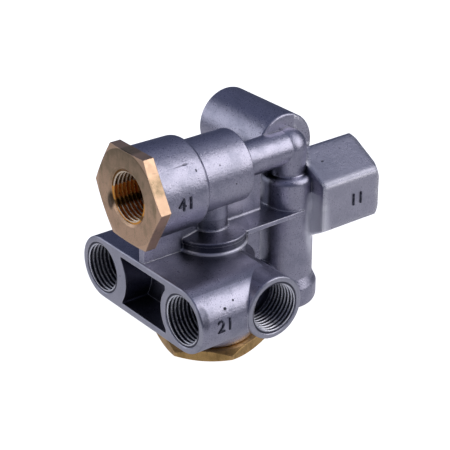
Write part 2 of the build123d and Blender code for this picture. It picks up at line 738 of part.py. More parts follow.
def relay_piston():
    """Piston with a hollow nose that closes the exhaust before it opens the inlet."""
    radius = RELAY_BORE_RADIUS - SLIDING_GAP
    top = RELAY_PISTON_TOP_Z
    bottom = top - RELAY_PISTON_HEIGHT
    nose = CAGE_SEAT_Z + RELAY_STROKE
    outline = [
        (0, top - RELAY_CROWN_DEPTH), (RELAY_CROWN_RADIUS, top - RELAY_CROWN_DEPTH),
        (RELAY_CROWN_RADIUS + RELAY_CROWN_SLOPE, top), (radius, top), (radius, bottom),
        (RELAY_STEM_RADIUS, bottom), (RELAY_STEM_RADIUS, nose), (VALVE_STEM_BORE_RADIUS, nose),
        (VALVE_STEM_BORE_RADIUS, bottom - RELAY_NOSE_DEPTH), (0, bottom - RELAY_NOSE_DEPTH),
    ]
    piston = turned(RELAY_AXIS, outline)
    return piston - seal_groove(RELAY_AXIS, RELAY_BORE_RADIUS, RELAY_SEAL_Z)


RELAY_SPRING_RADIUS = 4.9
RELAY_SPRING_WIRE = 0.9


def relay_spring():
    bottom = RELAY_PISTON_TOP_Z - RELAY_PISTON_HEIGHT
    return coil_spring(
        RELAY_AXIS, RELAY_SPRING_RADIUS, RELAY_SPRING_WIRE, CAGE_TOP_Z + 0.05, bottom - 0.05, 5
    )


CAGE_UPPER_SEAL_Z = -40.7
CAGE_LOWER_SEAL_Z = -47.5


def relay_cage():
    """Seat insert that divides the supply chamber from the delivery chamber."""
    radius = HOUSING_BORE_RADIUS - STATIC_GAP
    chamber = radius - CAGE_WALL
    roof = CAGE_SEAT_Z + CAGE_SEAT_LIP
    outline = [
        (CAGE_SEAT_RADIUS, CAGE_TOP_Z), (radius, CAGE_TOP_Z), (radius, CAGE_BOTTOM_Z),
        (chamber, CAGE_BOTTOM_Z), (chamber, roof),
        (CAGE_SEAT_RADIUS + CAGE_SEAT_LIP, roof), (CAGE_SEAT_RADIUS + CAGE_SEAT_LIP, CAGE_SEAT_Z),
        (CAGE_SEAT_RADIUS, CAGE_SEAT_Z),
    ]
    cage = turned(RELAY_AXIS, outline)
    cage -= seal_groove(RELAY_AXIS, HOUSING_BORE_RADIUS, CAGE_UPPER_SEAL_Z)
    cage -= seal_groove(RELAY_AXIS, HOUSING_BORE_RADIUS, CAGE_LOWER_SEAL_Z)
    cage -= ring(
        RELAY_AXIS, radius - CAGE_GROOVE_DEPTH, radius + 1,
        SUPPLY_DUCT_Z - CAGE_GROOVE_HALF_HEIGHT, SUPPLY_DUCT_Z + CAGE_GROOVE_HALF_HEIGHT,
    )
    for index in range(CAGE_PORT_COUNT):
        angle = 360 / CAGE_PORT_COUNT * index
        direction = Vector(1, 0, 0).rotate(Axis.Z, angle)
        spoke = Plane(origin=(0, 0, SUPPLY_DUCT_Z), z_dir=direction)
        cage -= bar(spoke, CAGE_PORT_RADIUS, chamber - 1, radius + 1)
    return cage


def inlet_rubber():
    top = CAGE_SEAT_Z - VALVE_FACE_GAP
    return ring(
        RELAY_AXIS, VALVE_RUBBER_INNER_RADIUS, VALVE_RADIUS - 0.4, top - VALVE_RUBBER_THICKNESS, top
    )


def inlet_valve():
    """Hollow poppet; its stem carries the exhaust air down to the flap."""
    top = CAGE_SEAT_Z - VALVE_FACE_GAP - VALVE_RUBBER_THICKNESS
    bottom = top - VALVE_DISC_THICKNESS
    outline = [
        (VALVE_STEM_BORE_RADIUS, top), (VALVE_RADIUS, top), (VALVE_RADIUS, bottom),
        (VALVE_STEM_RADIUS, bottom), (VALVE_STEM_RADIUS, VALVE_STEM_BOTTOM_Z),
        (VALVE_STEM_BORE_RADIUS, VALVE_STEM_BOTTOM_Z),
    ]
    return turned(RELAY_AXIS, outline)


INLET_STROKE = 1.5
INLET_SPRING_RADIUS = 5.0
INLET_SPRING_WIRE = 0.8


def inlet_spring():
    top = CAGE_SEAT_Z - VALVE_FACE_GAP - VALVE_RUBBER_THICKNESS - VALVE_DISC_THICKNESS
    return coil_spring(
        RELAY_AXIS, INLET_SPRING_RADIUS, INLET_SPRING_WIRE,
        SPRING_POCKET_FLOOR_Z + 0.05, top - 0.05, 3.5,
    )


# Bottom cap nut and exhaust

NUT_SEAL_Z = -52.6


def bottom_cap_nut():
    """Brass hexagon that closes the relay bore, guides the valve and holds the flap."""
    radius = HOUSING_BORE_RADIUS - STATIC_GAP
    corner = BOTTOM_NUT_FLATS / 3 ** 0.5
    top = HOUSING_BOTTOM_Z
    hexagon = hexagon_bar(
        RELAY_AXIS, BOTTOM_NUT_FLATS, BOTTOM_NUT_BOTTOM_Z, top, turn=BOTTOM_NUT_TURN
    )
    bevel = turned(
        RELAY_AXIS,
        [
            (0, BOTTOM_NUT_BOTTOM_Z), (corner - 2 * NUT_BEVEL, BOTTOM_NUT_BOTTOM_Z),
            (corner + 0.1, BOTTOM_NUT_BOTTOM_Z + NUT_BEVEL), (corner + 0.1, top - NUT_BEVEL),
            (corner - 2 * NUT_BEVEL, top), (0, top),
        ],
    )
    nut = (hexagon & bevel) + bar(RELAY_AXIS, radius, top - 0.5, BOTTOM_NUT_SPIGOT_TOP_Z)
    nut -= bar(
        RELAY_AXIS, radius - NUT_SPIGOT_WALL, SPRING_POCKET_FLOOR_Z, BOTTOM_NUT_SPIGOT_TOP_Z + 1
    )
    nut -= bar(RELAY_AXIS, VALVE_STEM_RADIUS + SLIDING_GAP, EXHAUST_CHAMBER_TOP_Z - 1, SPRING_POCKET_FLOOR_Z + 1)
    nut -= bar(RELAY_AXIS, EXHAUST_CHAMBER_RADIUS, EXHAUST_FLOOR_TOP_Z, EXHAUST_CHAMBER_TOP_Z)
    nut -= bar(RELAY_AXIS, EXHAUST_RECESS_RADIUS, BOTTOM_NUT_BOTTOM_Z - 1, EXHAUST_FLOOR_BOTTOM_Z)
    nut -= seal_groove(RELAY_AXIS, HOUSING_BORE_RADIUS, NUT_SEAL_Z)
    floor_middle = (EXHAUST_FLOOR_TOP_Z + EXHAUST_FLOOR_BOTTOM_Z) / 2
    for spot in PolarLocations(EXHAUST_HOLE_CIRCLE, EXHAUST_HOLE_COUNT):
        nut -= Pos(0, 0, floor_middle) * spot * Cylinder(EXHAUST_HOLE_RADIUS, 3)
    nut -= Pos(0, 0, floor_middle) * Cylinder(FLAP_SCREW_RADIUS + STATIC_GAP, 3)
    return nut


def exhaust_flap():
    top = EXHAUST_FLOOR_BOTTOM_Z
    return ring(RELAY_AXIS, FLAP_SCREW_RADIUS + STATIC_GAP, FLAP_RADIUS, top - FLAP_THICKNESS, top)


def flap_washer():
    top = EXHAUST_FLOOR_BOTTOM_Z - FLAP_THICKNESS
    return ring(
        RELAY_AXIS, FLAP_SCREW_RADIUS + STATIC_GAP, FLAP_WASHER_RADIUS,
        top - FLAP_WASHER_THICKNESS, top,
    )


def flap_screw():
    head_top = EXHAUST_FLOOR_BOTTOM_Z - FLAP_THICKNESS - FLAP_WASHER_THICKNESS
    outline = [
        (0, head_top - FLAP_SCREW_HEAD_HEIGHT),
        (FLAP_SCREW_HEAD_RADIUS - 0.3, head_top - FLAP_SCREW_HEAD_HEIGHT),
        (FLAP_SCREW_HEAD_RADIUS, head_top), (FLAP_SCREW_RADIUS, head_top),
        (FLAP_SCREW_RADIUS, EXHAUST_FLOOR_TOP_Z + 0.8), (0, EXHAUST_FLOOR_TOP_Z + 0.8),
    ]
    return turned(RELAY_AXIS, outline)


PIECES = {
    "valve_body": valve_body,
    "control_port_nut": control_port_nut,
    "control_nut_seal": lambda: seal_ring(CONTROL_AXIS, NIPPLE_BORE_RADIUS, CONTROL_SEAL_X),
    "control_filter": control_filter,
    "protection_piston": protection_piston,
    "protection_piston_seal": lambda: seal_ring(
        PROTECTION_AXIS, PROTECTION_BORE_RADIUS, PROTECTION_SEAL_Y
    ),
    "protection_disc": protection_disc,
    "protection_spring": protection_spring,
    "protection_cap": protection_cap,
    "protection_cap_seal": lambda: seal_ring(PROTECTION_AXIS, CAP_BORE_RADIUS, CAP_SEAL_Y),
    "protection_cap_ring": lambda: snap_ring(PROTECTION_AXIS, CAP_BORE_RADIUS, CAP_RING_Y),
    "check_valve": check_valve,
    "check_valve_rubber": check_rubber,
    "check_valve_spring": check_spring,
    "column_plug": column_plug,
    "column_plug_seal": lambda: seal_ring(COLUMN_AXIS, PLUG_BORE_RADIUS, PLUG_SEAL_Z),
    "column_plug_ring": lambda: snap_ring(COLUMN_AXIS, PLUG_BORE_RADIUS, PLUG_RING_Z),
    "relay_piston": relay_piston,
    "relay_piston_seal": lambda: seal_ring(RELAY_AXIS, RELAY_BORE_RADIUS, RELAY_SEAL_Z),
    "relay_piston_spring": relay_spring,
    "relay_cage": relay_cage,
    "relay_cage_upper_seal": lambda: seal_ring(RELAY_AXIS, HOUSING_BORE_RADIUS, CAGE_UPPER_SEAL_Z),
    "relay_cage_lower_seal": lambda: seal_ring(RELAY_AXIS, HOUSING_BORE_RADIUS, CAGE_LOWER_SEAL_Z),
    "inlet_valve": inlet_valve,
    "inlet_valve_rubber": inlet_rubber,
    "inlet_valve_spring": inlet_spring,
    "bottom_cap_nut": bottom_cap_nut,
    "bottom_nut_seal": lambda: seal_ring(RELAY_AXIS, HOUSING_BORE_RADIUS, NUT_SEAL_Z),
    "exhaust_flap": exhaust_flap,
    "exhaust_flap_washer": flap_washer,
    "exhaust_flap_screw": flap_screw,
}

for name, make in PIECES.items():
    piece = Pos(-CONTROL_THREAD_X, 0, 0) * make()
    piece.label = name
    export_step(piece, f"parts/{name}.step")
    box = piece.bounding_box()
    print(name, round(piece.volume, 1), [round(v, 2) for v in (*box.min, *box.max)])
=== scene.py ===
"""Parking brake control valve: finishes, springs, pipe threads and port numbers on the frame."""
import json
import math

import bpy
from bpy.props import FloatProperty, FloatVectorProperty, IntProperty, PointerProperty, StringProperty
from mathutils import Matrix, Vector


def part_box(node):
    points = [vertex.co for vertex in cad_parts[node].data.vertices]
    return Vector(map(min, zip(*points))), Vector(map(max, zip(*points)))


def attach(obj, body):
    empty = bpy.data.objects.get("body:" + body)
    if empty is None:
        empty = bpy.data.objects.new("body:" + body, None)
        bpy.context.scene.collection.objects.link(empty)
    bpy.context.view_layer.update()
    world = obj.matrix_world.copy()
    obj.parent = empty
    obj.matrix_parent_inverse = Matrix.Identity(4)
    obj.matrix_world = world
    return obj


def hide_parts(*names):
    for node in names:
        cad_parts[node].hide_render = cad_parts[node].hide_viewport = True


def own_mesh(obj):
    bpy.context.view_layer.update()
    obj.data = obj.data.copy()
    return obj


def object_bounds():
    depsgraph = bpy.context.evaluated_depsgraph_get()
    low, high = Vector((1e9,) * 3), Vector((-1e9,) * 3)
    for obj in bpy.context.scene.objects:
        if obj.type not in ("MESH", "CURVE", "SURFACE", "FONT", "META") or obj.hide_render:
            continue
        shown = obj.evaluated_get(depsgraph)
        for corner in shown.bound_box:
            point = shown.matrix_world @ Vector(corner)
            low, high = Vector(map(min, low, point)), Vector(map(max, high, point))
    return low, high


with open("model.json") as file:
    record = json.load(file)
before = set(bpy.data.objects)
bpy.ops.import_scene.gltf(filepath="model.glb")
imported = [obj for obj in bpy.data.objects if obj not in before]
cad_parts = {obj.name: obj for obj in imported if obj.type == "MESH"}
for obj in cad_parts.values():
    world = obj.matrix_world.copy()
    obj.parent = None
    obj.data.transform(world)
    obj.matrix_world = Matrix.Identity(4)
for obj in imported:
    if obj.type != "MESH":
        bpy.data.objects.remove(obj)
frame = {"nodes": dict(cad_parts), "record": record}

bl_info = {
    "name": "Parking brake control valve",
    "version": (1, 0, 0),
    "blender": (4, 5, 0),
    "location": "3D View > Sidebar > Valve",
    "description": "Dresses the valve's frame with its finishes, springs, threads and numbers",
    "category": "Object",
}

CAD_BOX = [list(corner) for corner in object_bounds()]
MM = 0.001
MOUNTS = {mount["name"]: mount for mount in frame["record"]["mounts"]}
BODY_LOW, BODY_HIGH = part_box("valve_body")
CONTROL_PORT = "control_port"
DELIVERY_PORTS = (
    "delivery_port_front_right", "delivery_port_front_left",
    "delivery_port_right", "delivery_port_left",
)
RESERVOIR_PORT = "reservoir_port"

# Colours of a cut thread's crests and valleys, and 1 if the valley colour is painted light on only a
# band, with painted shade elsewhere, else 0
THREAD_BRASS = ((1.0, 0.84, 0.64), (0.92, 0.42, 0.07), 1.0)
THREAD_ALUMINIUM = ((0.92, 0.92, 0.98), (0.085, 0.085, 0.11), 0.0)
# Heights from the port's axis, in millimetres: the band of painted light, the part where crests take
# its colour, and a painted dark line of shade
GLOW_LOW_Z = -8.2
CREST_GLOW_LOW_Z = -5.0
SHADE_LINE_Z = -4.4
GLOW_HIGH_Z = 0.8

# A pipe thread gets narrower by this share of its depth, on the radius
THREAD_TAPER = 1 / 32
# Half widths of a ridge at its root and crest, and its run-out, as shares of the pitch
ROOT_HALF = 0.46
CREST_HALF = 0.09
RUN_OUT = 0.3
# How far a ridge's root lies in the wall, in millimetres
ROOT_SUNK = 0.05

# The photograph's camera: place in metres, angles in degrees, lens and sensor in millimetres
CAMERA_PLACE = (-0.2268, -0.33827, 0.19293)
CAMERA_TILT = 63.54
CAMERA_TURN = -37.89
CAMERA_LENS = 121.18
SENSOR_WIDTH = 36.0

# Marks on the casting: centre and half size in millimetres, and how dark
MARKS = (
    ((12.6, -30.6, -28.8), (0.62, 0.62, 0.62), 1.0),
    ((16.3, -29.7, -27.5), (0.38, 0.38, 0.38), 1.0),
    ((11.6, -10.1, 10.3), (3.2, 0.22, 0.22), 0.30),
    ((13.6, -10.0, 10.4), (1.3, 0.50, 0.50), 0.45),
    ((16.5, -11.8, 8.3), (0.30, 0.55, 0.55), 0.75),
    ((31.8, -11.7, -0.5), (0.33, 0.33, 0.33), 0.9),
    ((26.9, -9.8, 6.4), (0.28, 0.28, 0.28), 0.8),
    ((71.5, -6.0, -5.8), (0.7, 0.4, 0.4), 0.9),
)
# Smears on the front port's rim and on the control nut's face: centre and half size
RIM_SMEAR = ((4.9, -30.7, -28.9), (1.9, 3.4, 6.2))
NUT_SMEAR = ((-0.4, 8.7, -4.3), (2.0, 1.9, 3.6))
# Blend between the column and the reservoir boss on both sides, made dull and given painted light in
# place of painted shade, and the height of its top
BLEND_RIGHT = ((66.0, -9.0, -24.5), (4.6, 7.5, 16.0))
BLEND_LEFT = ((66.0, 9.0, -24.5), (4.6, 7.5, 16.0))
BLEND_TOP_Z = -14.2
# Painted light on the web beside the neck
WEB_LIT_PATCH = ((41.0, -2.0, -14.0), (8.0, 1.2, 4.5))
# The reservoir boss starts here
BOSS_START_X = 65.5
# Inner corners in front of this get painted highlights like the edges, and those behind it don't
FILLETS_END_X = 50.0
# The neck under the head plate: its axis, the radius and height of the painted highlight ring at its
# foot, and its top
NECK_X = 30.4
NECK_FOOT_RADIUS = 11.9
NECK_FOOT_Z = -23.0
NECK_TOP_Z = -19.7
# The head plate's rim reaches from the first height to the second, and painted shade round the neck
# reaches up to the third
PLATE_LOW_Z = -19.1
PLATE_HIGH_Z = -17.1
PLATE_SHADE_Z = -14.4
# Faces that look straight up below this height get painted shade
LEVEL_SHADE_Z = -12.0
# Rounding of the casting's edges in millimetres, and how much more the plate and the boss have
EDGE_ROUNDING = 0.42
PLATE_ROUNDING = 0.35
BOSS_ROUNDING = 2.5

# Colours on the casting, besides those in the panel
GRAIN_LIGHT = (0.72, 0.70, 0.78)
GRAIN_DARK = (0.20, 0.20, 0.27)
CUT_FACE = (0.58, 0.58, 0.63)
SMEAR_GREY = (0.09, 0.095, 0.13)
SHADE_GREY = (0.13, 0.135, 0.165)
# Painted shade deep in bores, slots and the pocket
BORE_SHADE_GREY = (0.022, 0.038, 0.050)
# Painted shade round the neck, under and on the head plate
NECK_SHADE = (0.05, 0.055, 0.075)
# Painted shade on low faces that look straight up
LEVEL_SHADE = (0.06, 0.065, 0.09)
# Painted shade on the reservoir boss's top faces, and painted light on its sides
BOSS_TOP_SHADE = (0.22, 0.225, 0.28)
BOSS_SIDE_LIGHT = (0.72, 0.70, 0.77)
BLEND_LIGHT_GREY = (0.60, 0.60, 0.66)
WEB_LIGHT_COLOUR = (0.86, 0.82, 0.90)
# Edges lighter, partly from wear and partly painted highlight
WORN_EDGE_AND_HIGHLIGHT = (0.90, 0.89, 0.96)
BOSS_EDGE_HIGHLIGHT = (1.0, 0.99, 1.0)

# Colours on the brass, besides those in the panel
BRASS_SHADE = (0.08, 0.055, 0.04)
# Painted shade deep in the brass's hollows and bores
BRASS_HOLLOW_SHADE = (0.30, 0.12, 0.02)
BRASS_PIT = (0.06, 0.04, 0.02)
BRASS_SMEAR = (0.04, 0.028, 0.016)
# In millimetres: the height over which tarnish thickens, and where the control nut's corners start
TARNISH_HEIGHT = 24
NUT_CORNER_RADIUS = 14.9

# Bars and face that carry the port numbers, in millimetres
CONTROL_BAR_RADIUS = 14.48
DELIVERY_BAR_RADIUS = 10.50
BOSS_HALF_WIDTH = 13.98
# Size of the font over the height of a figure
FONT_SHARE = 1.42

# Studio surroundings: heights from straight down at 0 to straight up at 1, and their colours
SKY = (
    (0.00, (0.35, 0.355, 0.40)),
    (0.26, (0.43, 0.435, 0.49)),
    (0.34, (0.44, 0.445, 0.50)),
    (0.40, (0.12, 0.13, 0.18)),
    (0.56, (0.056, 0.067, 0.118)),
    (0.76, (0.100, 0.113, 0.176)),
    (1.00, (0.132, 0.150, 0.245)),
)


class ThreadSizes(bpy.types.PropertyGroup):
    """Sizes of the female pipe threads."""

    small_pitch: FloatProperty(
        name="Small pitch", description="Pitch of the control and delivery threads",
        default=1.411 * MM, unit="LENGTH",
    )
    large_pitch: FloatProperty(
        name="Large pitch", description="Pitch of the reservoir thread",
        default=1.814 * MM, unit="LENGTH",
    )
    depth_share: FloatProperty(
        name="Depth share", description="Height of a thread's ridge as a share of its pitch",
        default=0.66, subtype="FACTOR",
    )
    steps: IntProperty(
        name="Steps", description="Segments in one turn of a thread", default=56,
    )


class NumberSizes(bpy.types.PropertyGroup):
    """Sizes and wording of the port numbers cast on the body."""

    height: FloatProperty(
        name="Height", description="Height of a figure", default=4.1 * MM, unit="LENGTH",
    )
    relief: FloatProperty(
        name="Relief", description="How far a figure stands out of the casting",
        default=0.28 * MM, unit="LENGTH",
    )
    control: StringProperty(
        name="Control port", description="Figures beside the control port", default="41",
    )
    delivery: StringProperty(
        name="Delivery port", description="Figures beside the delivery port", default="21",
    )
    reservoir: StringProperty(
        name="Reservoir port", description="Figures beside the reservoir port", default="11",
    )


class FinishColours(bpy.types.PropertyGroup):
    """Base colours of the finishes."""

    cast_light: FloatVectorProperty(
        name="Cast metal", description="Clean die-cast aluminium", subtype="COLOR",
        default=(0.52, 0.505, 0.60), min=0, max=1,
    )
    cast_dark: FloatVectorProperty(
        name="Cast metal, dull", description="Dull patches of the casting", subtype="COLOR",
        default=(0.36, 0.365, 0.45), min=0, max=1,
    )
    cast_pit: FloatVectorProperty(
        name="Pits", description="Dark pits and dirt in the casting", subtype="COLOR",
        default=(0.045, 0.045, 0.06), min=0, max=1,
    )
    nut_brass: FloatVectorProperty(
        name="Control nut", description="Brass of the control port's nut", subtype="COLOR",
        default=(0.80, 0.53, 0.34), min=0, max=1,
    )
    nut_patina: FloatVectorProperty(
        name="Control nut, tarnished", description="Olive tarnish on the brass", subtype="COLOR",
        default=(0.50, 0.37, 0.22), min=0, max=1,
    )
    cap_brass: FloatVectorProperty(
        name="Cap nut", description="Brass of the bottom cap nut", subtype="COLOR",
        default=(0.72, 0.45, 0.17), min=0, max=1,
    )
    cap_patina: FloatVectorProperty(
        name="Cap nut, tarnished", description="Brown tarnish on the cap nut", subtype="COLOR",
        default=(0.42, 0.26, 0.09), min=0, max=1,
    )
    floor: FloatVectorProperty(
        name="Floor", description="The plain pale floor", subtype="COLOR",
        default=(0.90, 0.90, 0.91), min=0, max=1,
    )


class Wire:
    """A node's output that takes part in shader maths."""

    def __init__(self, tree, socket):
        self.tree = tree
        self.socket = socket

    def maths(self, operation, *values):
        node = self.tree.nodes.new("ShaderNodeMath")
        node.operation = operation
        for place, value in enumerate(values):
            if isinstance(value, Wire):
                self.tree.links.new(value.socket, node.inputs[place])
            else:
                node.inputs[place].default_value = value
        return Wire(self.tree, node.outputs[0])

    def __add__(self, other):
        return self.maths("ADD", self, other)

    def __radd__(self, other):
        return self.maths("ADD", other, self)

    def __sub__(self, other):
        return self.maths("SUBTRACT", self, other)

    def __rsub__(self, other):
        return self.maths("SUBTRACT", other, self)

    def __mul__(self, other):
        return self.maths("MULTIPLY", self, other)

    def __rmul__(self, other):
        return self.maths("MULTIPLY", other, self)

    def __truediv__(self, other):
        return self.maths("DIVIDE", self, other)

    def __lt__(self, other):
        return self.maths("LESS_THAN", self, other)

    def __gt__(self, other):
        return self.maths("GREATER_THAN", self, other)

    def clamped(self):
        return self.maths("MINIMUM", self.maths("MAXIMUM", self, 0.0), 1.0)

    def ramp(self, low, high):
        """0 below low, 1 above high, smooth between."""
        node = self.tree.nodes.new("ShaderNodeMapRange")
        node.interpolation_type = "SMOOTHSTEP"
        self.tree.links.new(self.socket, node.inputs["Value"])
        node.inputs["From Min"].default_value = low
        node.inputs["From Max"].default_value = high
        return Wire(self.tree, node.outputs[0])

    def size(self):
        return self.maths("ABSOLUTE", self)

    def sine(self):
        return self.maths("SINE", self)

    def root(self):
        return self.maths("SQRT", self)


class Finish:
    """A material whose nodes are written as expressions."""

    def __init__(self, name, **constants):
        self.material = bpy.data.materials.new(name)
        self.material.use_nodes = True
        self.tree = self.material.node_tree
        self.tree.nodes.clear()
        output = self.tree.nodes.new("ShaderNodeOutputMaterial")
        self.shader = self.tree.nodes.new("ShaderNodeBsdfPrincipled")
        self.tree.links.new(self.shader.outputs[0], output.inputs["Surface"])
        for socket, value in constants.items():
            self.shader.inputs[socket.replace("_", " ")].default_value = value
        self.place = self.node("TexCoord", output="Object")

    def node(self, kind, settings=None, links=None, output=0):
        made = self.tree.nodes.new("ShaderNode" + kind)
        for name, value in (settings or {}).items():
            setattr(made, name, value)
        for name, value in (links or {}).items():
            if isinstance(value, Wire):
                self.tree.links.new(value.socket, made.inputs[name])
            else:
                made.inputs[name].default_value = value
        return Wire(self.tree, made.outputs[output])

    def feed(self, **links):
        for socket, value in links.items():
            self.tree.links.new(value.socket, self.shader.inputs[socket.replace("_", " ")])

    def moved(self, centre=(0, 0, 0), scale=(1, 1, 1), turn=(0, 0, 0)):
        """Object coordinates measured from a point, stretched and turned."""
        shift = self.node(
            "VectorMath", {"operation": "SUBTRACT"}, {0: self.place, 1: Vector(centre)}
        )
        return self.node(
            "Mapping", None, {"Vector": shift, "Scale": Vector(scale), "Rotation": Vector(turn)}
        )

    def axes(self, place=None):
        node = self.tree.nodes.new("ShaderNodeSeparateXYZ")
        self.tree.links.new((place or self.place).socket, node.inputs[0])
        return [Wire(self.tree, socket) for socket in node.outputs]

    def noise(self, size, detail, rough, place=None):
        """Noise whose features are about one size across."""
        return self.node(
            "TexNoise", {"noise_dimensions": "3D"},
            {"Vector": place or self.place, "Scale": 1 / size, "Detail": detail, "Roughness": rough},
        )

    def cells(self, size, output="Distance"):
        """Cells about one size across: the distance to each one's middle, or its colour."""
        return self.node(
            "TexVoronoi", {"feature": "F1"}, {"Vector": self.place, "Scale": 1 / size}, output
        )

    def mix(self, first, second, share):
        """A colour between two others."""
        return self.node(
            "Mix", {"data_type": "RGBA"},
            {0: share, 6: self.colour(first), 7: self.colour(second)}, output=2,
        )

    def layered(self, base, *layers):
        """A colour under layers of other colours, each with its share."""
        for colour, share in layers:
            base = self.mix(base, colour, share)
        return base

    def colour(self, value):
        if isinstance(value, Wire):
            return value
        return (*value[:3], 1.0)

    def rounded(self, radius):
        """The normal of the surface with its edges and inner corners rounded."""
        return self.node("Bevel", {"samples": 4}, {"Radius": radius})

    def turning(self, normal):
        """How much a rounded normal leaves the face's own: 0 on a flat, more at an edge."""
        flat = self.node("NewGeometry", output="Normal")
        same = self.node("VectorMath", {"operation": "DOT_PRODUCT"}, {0: normal, 1: flat}, "Value")
        return 1 - same

    def shelter(self, reach, low, high):
        """0 in the open and in plain corners, 1 deep in a bore or a slot."""
        open_share = self.node(
            "AmbientOcclusion", {"samples": 6, "only_local": True}, {"Distance": reach}, "AO"
        )
        return (1 - open_share).ramp(low, high)

    def near(self, centre, half_size):
        """1 at a point of the object, 0 outside a blob of this half size; millimetres."""
        shift = self.moved([MM * part for part in centre], [1 / (MM * part) for part in half_size])
        length = self.node("VectorMath", {"operation": "LENGTH"}, {0: shift}, "Value")
        return 1 - length.ramp(0.50, 1.0)

    def bump(self, height, distance, strength, normal=None):
        links = {"Height": height, "Distance": distance, "Strength": strength}
        if normal is not None:
            links["Normal"] = normal
        return self.node("Bump", None, links)


def between(value, low, high):
    """1 where a coordinate lies between two limits in millimetres."""
    return (value > low * MM) * (value < high * MM)


def pits(finish, cell, radius, share):
    """Round pits: one in some of the cells, 1 in its middle and 0 round it."""
    distance = finish.cells(cell)
    chosen = finish.axes(finish.cells(cell, output="Color"))[0] < share
    return (1 - distance.ramp(radius / cell * 0.55, radius / cell)) * chosen


def cast_pits(finish, grain):
    """Pits all over the casting, and its larger marks."""
    pit = pits(finish, 3.1 * MM, 0.24 * MM, 0.10) + pits(finish, 7.3 * MM, 0.45 * MM, 0.08)
    for centre, half_size, depth in MARKS:
        pit = pit + finish.near(centre, half_size) * depth
    return (pit * (0.60 + grain * 0.8)).clamped()


def neck_marks(x, y, z):
    """A painted highlight ring at the neck's foot, and painted shade round the neck under and on the
    head plate.
    """
    across = x - NECK_X * MM
    radius = (across * across + y * y).root()
    off_ring = (radius - NECK_FOOT_RADIUS * MM).size()
    foot_highlight = (1 - off_ring.ramp(0.25 * MM, 0.65 * MM)) * between(z, NECK_FOOT_Z - 0.6, NECK_FOOT_Z + 0.4)
    round_neck = radius < (NECK_FOOT_RADIUS + 0.4) * MM
    under_plate = between(z, NECK_FOOT_Z + 0.3, NECK_TOP_Z) * round_neck
    on_plate = between(z, NECK_TOP_Z, PLATE_SHADE_Z) * round_neck
    return foot_highlight, (under_plate * 0.72 + on_plate * 0.28).clamped()


